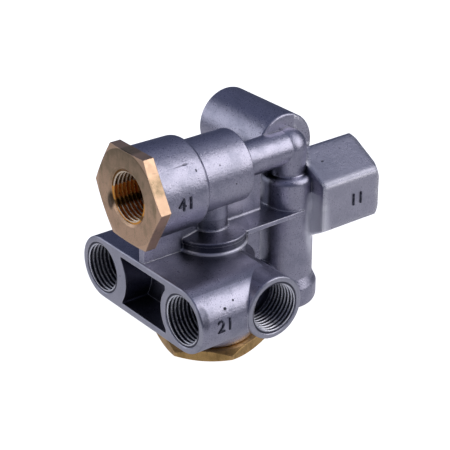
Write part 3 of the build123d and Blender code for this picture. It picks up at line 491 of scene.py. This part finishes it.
def cast_aluminium(colours):
    """Die-cast aluminium: grain, dull patches, pits, worn edges, cut port faces, painted shade and
    painted highlights.
    """
    finish = Finish("cast_aluminium")
    x, y, z = finish.axes()
    boss = x > BOSS_START_X * MM
    plate = between(z, PLATE_LOW_Z, PLATE_HIGH_Z)
    normal = finish.rounded(
        boss * (BOSS_ROUNDING * MM) + plate * (PLATE_ROUNDING * MM) + EDGE_ROUNDING * MM
    )
    corner = finish.shelter(2.5 * MM, 0.28, 0.52)
    behind = x > FILLETS_END_X * MM
    edge = (finish.turning(normal) * (plate * 9.0 + 5.0)).clamped() * (1 - corner * behind)
    fillet = edge * corner
    # Painted light on the blend between column and boss, where painted shade is lifted
    blend = (finish.near(*BLEND_RIGHT) + finish.near(*BLEND_LEFT)).clamped()
    blend = blend * (z < BLEND_TOP_Z * MM)
    # Painted shade: darker deep in bores, slots and the pocket, but not in the lit blend
    shelter = finish.shelter(8.0 * MM, 0.48, 0.86) * (1 - blend)
    shade = finish.shelter(26.0 * MM, 0.28, 0.80) * (1 - blend)

    grain = finish.noise(0.46 * MM, 2.0, 0.7)
    skin = finish.noise(1.25 * MM, 4.0, 0.65)
    patch = finish.noise(5.0 * MM, 3.0, 0.6).ramp(0.42, 0.68)
    stain = finish.noise(11.0 * MM, 2.0, 0.5).ramp(0.55, 0.75)
    pit = cast_pits(finish, grain)
    smear = (finish.near(*RIM_SMEAR) * (0.35 + skin)).clamped()
    along = finish.moved(scale=(1.0, 0.12, 1.0), turn=(0.3, 0.2, 0.5))
    scratch = finish.noise(0.9 * MM, 1.0, 0.4, along).ramp(0.70, 0.74) * 0.5

    front = x < BODY_LOW.x + 0.25 * MM
    sides = y.size() > BODY_HIGH.y - 0.2 * MM
    cut = (front + sides).clamped()
    # Painted highlight ring at the neck's foot, and painted shade round the neck
    foot_highlight, neck_shade = neck_marks(x, y, z)
    upward = finish.axes(finish.node("NewGeometry", output="Normal"))[2]
    # The boss's top faces get painted shade and its sides painted light
    boss_top = boss * (upward > 0.4)
    # Painted shade on faces that look straight up, low on the body
    level = (upward > 0.9) * (z < LEVEL_SHADE_Z * MM)

    base = finish.layered(
        colours.cast_light,
        (colours.cast_dark, (patch * 0.5 + stain * 0.4).clamped()),
        (GRAIN_LIGHT, grain.ramp(0.54, 0.72) * 0.45),
        (GRAIN_DARK, grain.ramp(0.46, 0.28) * 0.6),
        (CUT_FACE, cut * 0.6),
        (SMEAR_GREY, smear * 0.8),
        (SHADE_GREY, shade * 0.70),
        (BORE_SHADE_GREY, shelter * 0.93),
        (NECK_SHADE, neck_shade),
        (BOSS_TOP_SHADE, boss_top * 0.42),
        (BOSS_SIDE_LIGHT, boss * (1 - boss_top) * 0.40),
        (LEVEL_SHADE, level * 0.30),
        (BLEND_LIGHT_GREY, blend * 0.8),
        # Painted light on the web beside the neck
        (WEB_LIGHT_COLOUR, finish.near(*WEB_LIT_PATCH) * 0.75),
        # Edges lighter, partly wear and partly painted highlight, and painted highlights on the neck's
        # foot and the boss's rounded edges
        (WORN_EDGE_AND_HIGHLIGHT, (edge * 0.85 + foot_highlight * 0.60).clamped()),
        (BOSS_EDGE_HIGHLIGHT, boss * edge * 0.7),
        (colours.cast_pit, (pit * 0.95 + scratch * 0.3).clamped()),
    )
    rough = 0.31 + patch * 0.06 + (grain - 0.5) * 0.30 + pit * 0.3 + cut * 0.02
    rough = rough + blend * 0.15 - boss * edge * 0.06
    metal = 1 - edge * 0.25 - fillet * 0.40 - foot_highlight * 0.40 - blend * 0.62
    rings = ((x * x + y * y + z * z).root() * (2 * math.pi / (0.35 * MM))).sine() * cut * 0.02
    height = grain * (0.46 - cut * 0.32) + skin * (0.40 - cut * 0.34) + rings
    finish.feed(
        Base_Color=base, Roughness=rough.clamped(), Metallic=metal.clamped(),
        Normal=finish.bump(height - pit * 0.9 - scratch * 0.2, 0.26 * MM, 0.65, normal),
    )
    return finish.material


def figure_metal(colours):
    """The cast figures' metal, painted dark as shade, with lighter worn patches."""
    finish = Finish("figure_metal", Metallic=1.0)
    grain = finish.noise(0.22 * MM, 2.0, 0.6)
    wear = finish.noise(0.9 * MM, 2.0, 0.5).ramp(0.52, 0.70)
    # Painted shade: dark figures, lighter where worn
    base = finish.mix((0.075, 0.075, 0.10), colours.cast_dark, wear * 0.55)
    finish.feed(
        Base_Color=base, Roughness=(0.5 + grain * 0.15).clamped(),
        Normal=finish.bump(grain, 0.05 * MM, 0.5, finish.rounded(0.12 * MM)),
    )
    return finish.material


def thread_metal(name, mount, crest, valley, banded, pitch, sizes):
    """A cut thread: bright rubbed crests and dark valleys; in a banded one, painted light on a band
    and painted shade elsewhere.
    """
    finish = Finish(name, Metallic=0.85)
    x, y, z = finish.axes(finish.moved(mount["pos_m"]))
    along, across = (x, y) if abs(mount["axis"][0]) > 0.5 else (y, x)
    radius = (across * across + z * z).root()
    wall = mount["dims"]["r_mm"] * MM
    height = (wall - radius - along.size() * THREAD_TAPER) / (pitch * sizes.depth_share)
    smear = finish.noise(1.4 * MM, 2.0, 0.6)
    rubbed = height.ramp(0.45, 0.95) * (1.15 - smear.ramp(0.50, 0.75) * 0.5)
    # Painted light: a band of the valleys glows, its crests take the glow's colour, and a painted dark
    # line of shade crosses it
    glow = between(z, GLOW_LOW_Z, GLOW_HIGH_Z)
    crest_glow = between(z, CREST_GLOW_LOW_Z, GLOW_HIGH_Z) * banded * 0.92
    shade_line = 1 - (z - SHADE_LINE_Z * MM + (smear - 0.5) * MM).size().ramp(0.5 * MM, 1.3 * MM)
    base = finish.layered(
        [0.22 * part for part in valley],
        (valley, glow * banded + 1 - banded),
        (finish.mix(crest, valley, crest_glow), rubbed.clamped()),
        ([0.1 * part for part in valley], shade_line * banded * 0.85),
    )
    finish.feed(
        Base_Color=base, Roughness=(0.42 - rubbed * 0.18 + smear * 0.08).clamped(),
        Normal=finish.bump(smear, 0.03 * MM, 0.5),
    )
    return finish.material


def brass(name, bright, tarnished, centre, axis, corner, spot=None):
    """Turned brass with tarnish, rings round its own axis, worn edges, painted highlights on edges and
    corners, and painted shade.
    """
    finish = Finish(name)
    normal = finish.rounded(0.30 * MM)
    edge = (finish.turning(normal) * 6.0).clamped()
    shelter = finish.shelter(7.0 * MM, 0.68, 0.95)
    x, y, z = finish.axes(finish.moved(centre))
    along, across, other = (x, y, z) if axis == "X" else (z, x, y)
    radius = (across * across + other * other).root()
    rings = (radius * (2 * math.pi / (0.42 * MM))).sine()
    cloud = finish.noise(4.2 * MM, 4.0, 0.62).ramp(0.40, 0.66)
    upright = finish.moved(centre, scale=(1.0, 1.0, 0.22))
    streak = finish.noise(1.3 * MM, 3.0, 0.6, upright).ramp(0.50, 0.72)
    speck = finish.noise(0.28 * MM, 2.0, 0.6)
    dot = pits(finish, 2.3 * MM, 0.20 * MM, 0.14)
    slanted = finish.moved(centre, scale=(0.2, 1.0, 1.0), turn=(0.6, 0.1, 0.3))
    scuff = finish.noise(0.8 * MM, 1.0, 0.4, slanted).ramp(0.68, 0.73)

    # Polish on worn edges, and painted highlights on edges and the nut's corners
    polish_and_highlight = [min(1.0, 1.15 * part + 0.03) for part in bright]
    height = z * (1 / (TARNISH_HEIGHT * MM)) + 0.5
    tarnish = cloud * 0.5 + streak * 0.45 + height * 0.8 - 0.32
    face = along < 0.0
    base = finish.layered(
        bright,
        (tarnished, tarnish.clamped()),
        (BRASS_SHADE, ((height - 0.5) * 0.75).clamped() * face),
        ([0.50 * part for part in tarnished], speck.ramp(0.46, 0.30) * 0.5),
        (polish_and_highlight, radius.ramp(corner, corner + 0.4 * MM) * 0.8),
        (polish_and_highlight, edge * 0.7),
        # Painted shade deep in hollows and bores
        (BRASS_HOLLOW_SHADE, shelter * 0.85),
        (BRASS_PIT, (dot * 0.85 + scuff * 0.12).clamped()),
    )
    if spot:
        smear = (finish.near(*spot) * (0.5 + speck)).clamped()
        base = finish.mix(base, BRASS_SMEAR, smear * 0.85)
    rough = 0.33 + cloud * 0.10 + (speck - 0.5) * 0.22 + streak * 0.06 - edge * 0.05
    relief = rings * 0.05 + speck * 0.16 - dot * 0.8 - scuff * 0.25
    finish.feed(
        Base_Color=base, Roughness=rough.clamped(), Metallic=1 - edge * 0.35,
        Normal=finish.bump(relief, 0.12 * MM, 0.5, normal),
    )
    return finish.material


def turned_aluminium(centre, axis):
    """Lathe-turned aluminium inner pieces with their tool rings."""
    finish = Finish("turned_aluminium_" + axis.lower(), Metallic=1.0)
    x, y, z = finish.axes(finish.moved(centre))
    along, across = (y, z) if axis == "Y" else (z, y)
    radius = (x * x + across * across).root()
    rings = ((along + radius) * (2 * math.pi / (0.24 * MM))).sine()
    smear = finish.noise(1.6 * MM, 3.0, 0.6)
    base = finish.mix((0.66, 0.67, 0.70), (0.46, 0.47, 0.51), smear.ramp(0.42, 0.68))
    finish.feed(
        Base_Color=base, Roughness=(0.26 + smear * 0.2).clamped(),
        Normal=finish.bump(rings + smear, 0.02 * MM, 0.5, finish.rounded(0.15 * MM)),
    )
    return finish.material


def spring_steel():
    """Drawn steel wire and sheet with a light oil film."""
    finish = Finish("spring_steel", Metallic=1.0)
    draw = finish.noise(0.5 * MM, 2.0, 0.6)
    spot = pits(finish, 1.6 * MM, 0.22 * MM, 0.2)
    base = finish.mix((0.50, 0.50, 0.52), (0.30, 0.30, 0.32), draw.ramp(0.4, 0.7))
    base = finish.mix(base, (0.22, 0.13, 0.07), spot * 0.5)
    finish.feed(
        Base_Color=base, Roughness=(0.22 + draw * 0.2).clamped(),
        Normal=finish.bump(draw, 0.02 * MM, 0.4, finish.rounded(0.10 * MM)),
    )
    return finish.material


def seal_rubber():
    """Black moulded rubber with a faint grease sheen."""
    finish = Finish("seal_rubber", Metallic=0.0, Specular_IOR_Level=0.45)
    skin = finish.noise(0.35 * MM, 3.0, 0.6)
    bloom = finish.noise(2.2 * MM, 3.0, 0.6).ramp(0.45, 0.75)
    base = finish.mix((0.018, 0.018, 0.020), (0.050, 0.049, 0.048), bloom)
    finish.feed(
        Base_Color=base, Roughness=(0.48 + bloom * 0.22).clamped(),
        Normal=finish.bump(skin, 0.03 * MM, 0.5, finish.rounded(0.12 * MM)),
    )
    return finish.material


def sintered_bronze():
    """Filter bronze: small balls sintered together."""
    finish = Finish("sintered_bronze", Metallic=1.0)
    ball = finish.cells(0.34 * MM)
    tint = finish.noise(1.2 * MM, 3.0, 0.6)
    base = finish.mix((0.62, 0.38, 0.20), (0.36, 0.22, 0.12), tint.ramp(0.4, 0.7))
    base = finish.mix(base, (0.10, 0.06, 0.03), ball.ramp(0.45, 0.75))
    finish.feed(
        Base_Color=base, Roughness=(0.5 + ball * 0.3).clamped(),
        Normal=finish.bump(1 - ball, 0.12 * MM, 0.9),
    )
    return finish.material


def white_paper(colours):
    """The floor's matt paper, which gives some light of its own."""
    finish = Finish("floor_white", Roughness=0.9, Emission_Color=(1, 1, 1, 1), Emission_Strength=0.95)
    fibre = finish.noise(20 * MM, 2.0, 0.5)
    darker_fibre = [0.97 * part for part in colours.floor]
    finish.feed(Base_Color=finish.mix(colours.floor, darker_fibre, fibre))
    return finish.material


def deselect():
    for selected in list(bpy.context.selected_objects):
        selected.select_set(False)


def activate(piece):
    deselect()
    piece.select_set(True)
    bpy.context.view_layer.objects.active = piece


def name_piece(piece, name, finish, slot):
    piece.name = name
    piece.data.name = name
    piece.data.materials.clear()
    piece.data.materials.append(finish)
    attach(piece, "valve")


def thread_ridge(mount, pitch, sizes):
    """One helical ridge inside a port, cut off level with the port's mouth."""
    wall = mount["dims"]["r_mm"] * MM
    length = mount["dims"]["length_mm"] * MM
    turns = int(length / pitch + 0.6)
    root = wall + ROOT_SUNK * MM
    crest = wall - pitch * sizes.depth_share
    root_half = pitch * ROOT_HALF
    crest_half = pitch * CREST_HALF

    deselect()
    bpy.ops.mesh.primitive_plane_add(size=1, location=(0, 0, 0))
    ridge = bpy.context.object
    outline = ((root, -root_half), (crest, -crest_half), (root, root_half), (crest, crest_half))
    for vertex, (out, up) in zip(ridge.data.vertices, outline):
        vertex.co = (out, 0, up - pitch)
    bpy.ops.object.mode_set(mode="EDIT")
    bpy.ops.mesh.select_all(action="SELECT")
    bpy.ops.mesh.delete(type="ONLY_FACE")
    bpy.ops.object.mode_set(mode="OBJECT")

    screw = ridge.modifiers.new("Thread", "SCREW")
    screw.axis = "Z"
    screw.screw_offset = pitch
    screw.iterations = turns
    screw.steps = sizes.steps
    screw.render_steps = sizes.steps
    screw.use_smooth_shade = True
    bpy.ops.object.modifier_apply(modifier=screw.name)

    reach = (turns - 1) * pitch
    for vertex in ridge.data.vertices:
        angle = math.atan2(vertex.co.y, vertex.co.x)
        radius = math.hypot(vertex.co.x, vertex.co.y)
        if radius < wall:
            fade = min(1.0, max(0.02, (reach - crest_half - vertex.co.z) / (RUN_OUT * pitch)))
            taper = max(0, vertex.co.z) * THREAD_TAPER
            radius = wall - (wall - radius + taper) * fade
        vertex.co.x = radius * math.cos(angle)
        vertex.co.y = radius * math.sin(angle)

    bpy.ops.object.mode_set(mode="EDIT")
    bpy.ops.mesh.select_all(action="SELECT")
    bpy.ops.mesh.fill_holes(sides=4)
    bpy.ops.mesh.select_all(action="SELECT")
    bpy.ops.mesh.bisect(plane_co=(0, 0, 0), plane_no=(0, 0, 1), clear_inner=True)
    bpy.ops.mesh.edge_face_add()
    bpy.ops.mesh.select_all(action="SELECT")
    bpy.ops.mesh.normals_make_consistent(inside=False)
    bpy.ops.object.mode_set(mode="OBJECT")

    turn = Vector((0, 0, 1)).rotation_difference(-Vector(mount["axis"])).to_matrix().to_4x4()
    ridge.matrix_world = Matrix.Translation(Vector(mount["pos_m"])) @ turn
    activate(ridge)
    bpy.ops.object.transform_apply(location=True, rotation=True, scale=True)
    bpy.ops.object.shade_smooth_by_angle(angle=math.radians(40))
    return ridge


def pressed_spring(pressed):
    """A smooth-shaded copy of a spring, in place of the stiff one, which it hides."""
    node = frame["nodes"][pressed["node"]]
    letter = pressed["mode"][-1]
    axis = Vector([float(letter == other) for other in "xyz"])
    fixed_end = pressed["fixed_end_" + letter + "_m"]
    low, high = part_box(pressed["node"])

    spring = bpy.data.objects.new("spring_copy", node.data.copy())
    bpy.context.scene.collection.objects.link(spring)
    activate(spring)
    bpy.ops.object.mode_set(mode="EDIT")
    bpy.ops.mesh.select_all(action="SELECT")
    bpy.ops.mesh.remove_doubles(threshold=0.0005 * MM)
    bpy.ops.object.mode_set(mode="OBJECT")
    bpy.ops.object.shade_smooth_by_angle(angle=math.radians(35))
    name_piece(spring, pressed["node"] + "_pressed", node.data.materials[0], "steel")
    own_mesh(spring)
    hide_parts(pressed["node"])


def cast_figures(words, sizes, bend):
    """Figures standing out of the casting; bend moves a flat point to its place."""
    deselect()
    bpy.ops.object.text_add(location=(0, 0, 0))
    text = bpy.context.object
    text.data.body = words
    text.data.align_x = "CENTER"
    text.data.align_y = "CENTER"
    text.data.size = sizes.height * FONT_SHARE
    text.data.extrude = sizes.relief
    text.data.bevel_depth = 0.07 * MM
    text.data.bevel_resolution = 1
    text.data.offset = -0.04 * MM
    text.data.space_character = 1.08
    activate(text)
    bpy.ops.object.convert(target="MESH")
    figures = bpy.context.object
    bpy.ops.object.mode_set(mode="EDIT")
    bpy.ops.mesh.select_all(action="SELECT")
    bpy.ops.mesh.remove_doubles(threshold=0.002 * MM)
    bpy.ops.mesh.subdivide(number_cuts=2)
    bpy.ops.mesh.normals_make_consistent(inside=False)
    bpy.ops.object.mode_set(mode="OBJECT")
    for vertex in figures.data.vertices:
        vertex.co = bend(vertex.co.x, vertex.co.y, vertex.co.z)
    bpy.ops.object.shade_smooth_by_angle(angle=math.radians(35))
    return figures


def beside(port, along, up, out=0.0):
    """A point beside a port: along X, up, and out to the -Y side, in millimetres."""
    x, y, z = MOUNTS[port]["pos_m"]
    return (x + along * MM, y - out * MM, z + up * MM)


def on_bar(centre, radius):
    """Bends a flat point onto a round bar along X, on its -Y side."""
    def bend(across, up, out):
        angle = up / radius
        reach = radius + out
        x, y, z = centre
        return (x + across, y - reach * math.cos(angle), z + reach * math.sin(angle))
    return bend


def on_flat(centre):
    """Moves a flat point onto a face that looks along -Y."""
    def bend(across, up, out):
        x, y, z = centre
        return (x + across, y - out, z + up)
    return bend


def dress(names, finish):
    """Give carried-over nodes their finish."""
    for name in names:
        node = frame["nodes"][name]
        node.data.materials.clear()
        node.data.materials.append(finish)


def area_light(name, direction, distance, width, height, power, colour):
    """A soft box that faces the valve from a direction."""
    middle = (Vector(CAD_BOX[0]) + Vector(CAD_BOX[1])) / 2
    data = bpy.data.lights.new(name, "AREA")
    data.shape = "RECTANGLE"
    data.size = width
    data.size_y = height
    data.energy = power
    data.color = colour
    lamp = bpy.data.objects.new(name, data)
    away = Vector(direction).normalized()
    lamp.location = middle + away * distance
    lamp.rotation_euler = away.to_track_quat("Z", "Y").to_euler()
    bpy.context.scene.collection.objects.link(lamp)


def studio_world():
    """Soft surroundings: pale below, dark from a little under the horizon up."""
    world = bpy.data.worlds.new("studio")
    world.use_nodes = True
    tree = world.node_tree
    tree.nodes.clear()
    output = tree.nodes.new("ShaderNodeOutputWorld")
    background = tree.nodes.new("ShaderNodeBackground")
    tree.links.new(background.outputs[0], output.inputs[0])
    coordinates = tree.nodes.new("ShaderNodeTexCoord")
    split = tree.nodes.new("ShaderNodeSeparateXYZ")
    tree.links.new(coordinates.outputs["Generated"], split.inputs[0])
    ramp = tree.nodes.new("ShaderNodeValToRGB")
    scale = tree.nodes.new("ShaderNodeMapRange")
    scale.inputs["From Min"].default_value = -1
    scale.inputs["From Max"].default_value = 1
    tree.links.new(split.outputs[2], scale.inputs["Value"])
    tree.links.new(scale.outputs[0], ramp.inputs[0])
    points = ramp.color_ramp.elements
    while len(points) < len(SKY):
        points.new(1.0)
    for point, (position, colour) in zip(points, SKY):
        point.position = position
        point.color = (*colour, 1)
    tree.links.new(ramp.outputs[0], background.inputs[0])
    bpy.context.scene.world = world


def photo_camera():
    """The camera that took the photograph, as fitted to its outlines."""
    data = bpy.data.cameras.new("photo_camera")
    data.lens = CAMERA_LENS
    data.sensor_width = SENSOR_WIDTH
    data.clip_start = 0.01
    data.clip_end = 20
    camera = bpy.data.objects.new("photo_camera", data)
    camera.location = CAMERA_PLACE
    camera.rotation_euler = (math.radians(CAMERA_TILT), 0, math.radians(CAMERA_TURN))
    bpy.context.scene.collection.objects.link(camera)
    bpy.context.scene.camera = camera


class VALVE_OT_metal(bpy.types.Operator):
    """Finish the casting and every brass, steel and aluminium piece"""

    bl_idname = "valve.metal"
    bl_label = "Metal finishes"

    def execute(self, context):
        colours = context.scene.valve_colours
        nut_centre = MOUNTS[CONTROL_PORT]["pos_m"]
        cap_low, cap_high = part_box("bottom_cap_nut")
        cap_centre = (cap_low + cap_high) / 2
        cap_corner = (cap_high.y - cap_low.y) / 2
        nut = brass(
            "nut_brass", colours.nut_brass, colours.nut_patina,
            nut_centre, "X", NUT_CORNER_RADIUS * MM, NUT_SMEAR,
        )
        cap = brass(
            "cap_brass", colours.cap_brass, colours.cap_patina, cap_centre, "Z", cap_corner
        )
        dress(["valve_body"], cast_aluminium(colours))
        dress(["control_port_nut"], nut)
        dress(["bottom_cap_nut", "relay_cage", "inlet_valve", "check_valve"], cap)
        dress(["control_filter"], sintered_bronze())
        low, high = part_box("protection_cap")
        dress(["protection_piston", "protection_cap"], turned_aluminium((low + high) / 2, "Y"))
        dress(["relay_piston", "column_plug"], turned_aluminium(cap_centre, "Z"))
        springs = [name for name in frame["nodes"] if name.endswith("_spring")]
        rings_and_screws = [
            "protection_cap_ring", "column_plug_ring", "exhaust_flap_washer", "exhaust_flap_screw",
        ]
        dress(springs + rings_and_screws, spring_steel())
        return {"FINISHED"}


class VALVE_OT_rubber(bpy.types.Operator):
    """Finish the seals, the valve rubbers and the exhaust flap"""

    bl_idname = "valve.rubber"
    bl_label = "Rubber finishes"

    def execute(self, context):
        soft = ("seal", "rubber", "disc", "flap")
        dress([name for name in frame["nodes"] if name.endswith(soft)], seal_rubber())
        return {"FINISHED"}


class VALVE_OT_springs(bpy.types.Operator):
    """Put a copy of each pressed spring in place of its stiff one"""

    bl_idname = "valve.springs"
    bl_label = "Springs"

    def execute(self, context):
        for joint in frame["record"]["behaviour"]["joints"]:
            for pressed in joint["deforming_nodes"]:
                pressed_spring(pressed)
        return {"FINISHED"}


class VALVE_OT_threads(bpy.types.Operator):
    """Cut the pipe threads in all six ports"""

    bl_idname = "valve.threads"
    bl_label = "Pipe threads"

    def execute(self, context):
        sizes = context.scene.valve_threads
        ports = [(CONTROL_PORT, sizes.small_pitch, THREAD_BRASS, "brass")]
        ports += [(name, sizes.small_pitch, THREAD_ALUMINIUM, "casting") for name in DELIVERY_PORTS]
        ports += [(RESERVOIR_PORT, sizes.large_pitch, THREAD_ALUMINIUM, "casting")]
        for name, pitch, tones, slot in ports:
            mount = MOUNTS[name]
            metal = thread_metal(name + "_thread_metal", mount, *tones, pitch, sizes)
            name_piece(thread_ridge(mount, pitch, sizes), name + "_thread", metal, slot)
        return {"FINISHED"}


class VALVE_OT_numbers(bpy.types.Operator):
    """Raise the plain port numbers on the casting"""

    bl_idname = "valve.numbers"
    bl_label = "Port numbers"

    def execute(self, context):
        sizes = context.scene.valve_numbers
        metal = figure_metal(context.scene.valve_colours)
        control = beside(CONTROL_PORT, along=11.0, up=-0.3)
        delivery = beside(DELIVERY_PORTS[0], along=8.35, up=0.1)
        reservoir = beside(RESERVOIR_PORT, along=-8.3, up=-0.2, out=BOSS_HALF_WIDTH)
        places = {
            "control_port_figures": (sizes.control, on_bar(control, CONTROL_BAR_RADIUS * MM)),
            "delivery_port_figures": (sizes.delivery, on_bar(delivery, DELIVERY_BAR_RADIUS * MM)),
            "reservoir_port_figures": (sizes.reservoir, on_flat(reservoir)),
        }
        for name, (words, bend) in places.items():
            name_piece(cast_figures(words, sizes, bend), name, metal, "casting")
        return {"FINISHED"}


class VALVE_OT_stage(bpy.types.Operator):
    """Set up the pale floor, the soft light and the photograph's camera"""

    bl_idname = "valve.stage"
    bl_label = "Stage"

    def execute(self, context):
        colours = context.scene.valve_colours
        deselect()
        bpy.ops.mesh.primitive_grid_add(
            x_subdivisions=8, y_subdivisions=8, size=6, location=(0, 0, CAD_BOX[0][2] - 0.1 * MM)
        )
        floor = context.object
        floor.name = "studio_floor"
        floor.data.materials.append(white_paper(colours))
        floor.visible_glossy = False
        bpy.ops.object.transform_apply(location=True, rotation=True, scale=True)

        studio_world()
        area_light(
            "soft_box", direction=(0.58, -0.58, 0.51), distance=0.85,
            width=0.80, height=0.83, power=3.25, colour=(1.0, 0.985, 1.0),
        )
        area_light(
            "left_card", direction=(-0.98, 0.09, 0.20), distance=0.90,
            width=0.35, height=0.30, power=0.5, colour=(1.0, 0.99, 1.0),
        )
        area_light(
            "back_panel", direction=(-0.56, 0.72, 0.30), distance=0.90,
            width=0.80, height=0.60, power=1.3, colour=(0.90, 0.93, 1.0),
        )
        area_light(
            "top_fill", direction=(0.45, 0.0, 0.90), distance=1.1,
            width=0.9, height=0.9, power=0.5, colour=(0.88, 0.92, 1.0),
        )
        photo_camera()
        context.scene.view_settings.view_transform = "Standard"
        return {"FINISHED"}


class VALVE_PT_panel(bpy.types.Panel):
    """Shows the valve's colours and sizes, with buttons for its steps."""

    bl_label = "Valve"
    bl_idname = "VALVE_PT_panel"
    bl_space_type = "VIEW_3D"
    bl_region_type = "UI"
    bl_category = "Valve"

    def draw(self, context):
        scene = context.scene
        groups = (
            (scene.valve_colours, ("valve.metal", "valve.rubber", "valve.springs", "valve.stage")),
            (scene.valve_threads, ("valve.threads",)),
            (scene.valve_numbers, ("valve.numbers",)),
        )
        for group, operators in groups:
            box = self.layout.box()
            for name in group.__annotations__:
                box.prop(group, name)
            for operator in operators:
                box.operator(operator)


CLASSES = (
    ThreadSizes, NumberSizes, FinishColours,
    VALVE_OT_metal, VALVE_OT_rubber, VALVE_OT_springs,
    VALVE_OT_threads, VALVE_OT_numbers, VALVE_OT_stage,
    VALVE_PT_panel,
)


def register():
    for cls in CLASSES:
        bpy.utils.register_class(cls)
    bpy.types.Scene.valve_threads = PointerProperty(type=ThreadSizes)
    bpy.types.Scene.valve_numbers = PointerProperty(type=NumberSizes)
    bpy.types.Scene.valve_colours = PointerProperty(type=FinishColours)


def unregister():
    del bpy.types.Scene.valve_colours
    del bpy.types.Scene.valve_numbers
    del bpy.types.Scene.valve_threads
    for cls in reversed(CLASSES):
        bpy.utils.unregister_class(cls)


def main():
    register()
    bpy.ops.valve.metal()
    bpy.ops.valve.rubber()
    bpy.ops.valve.springs()
    bpy.ops.valve.threads()
    bpy.ops.valve.numbers()
    bpy.ops.valve.stage()
    deselect()


if __name__ == "__main__":
    main()
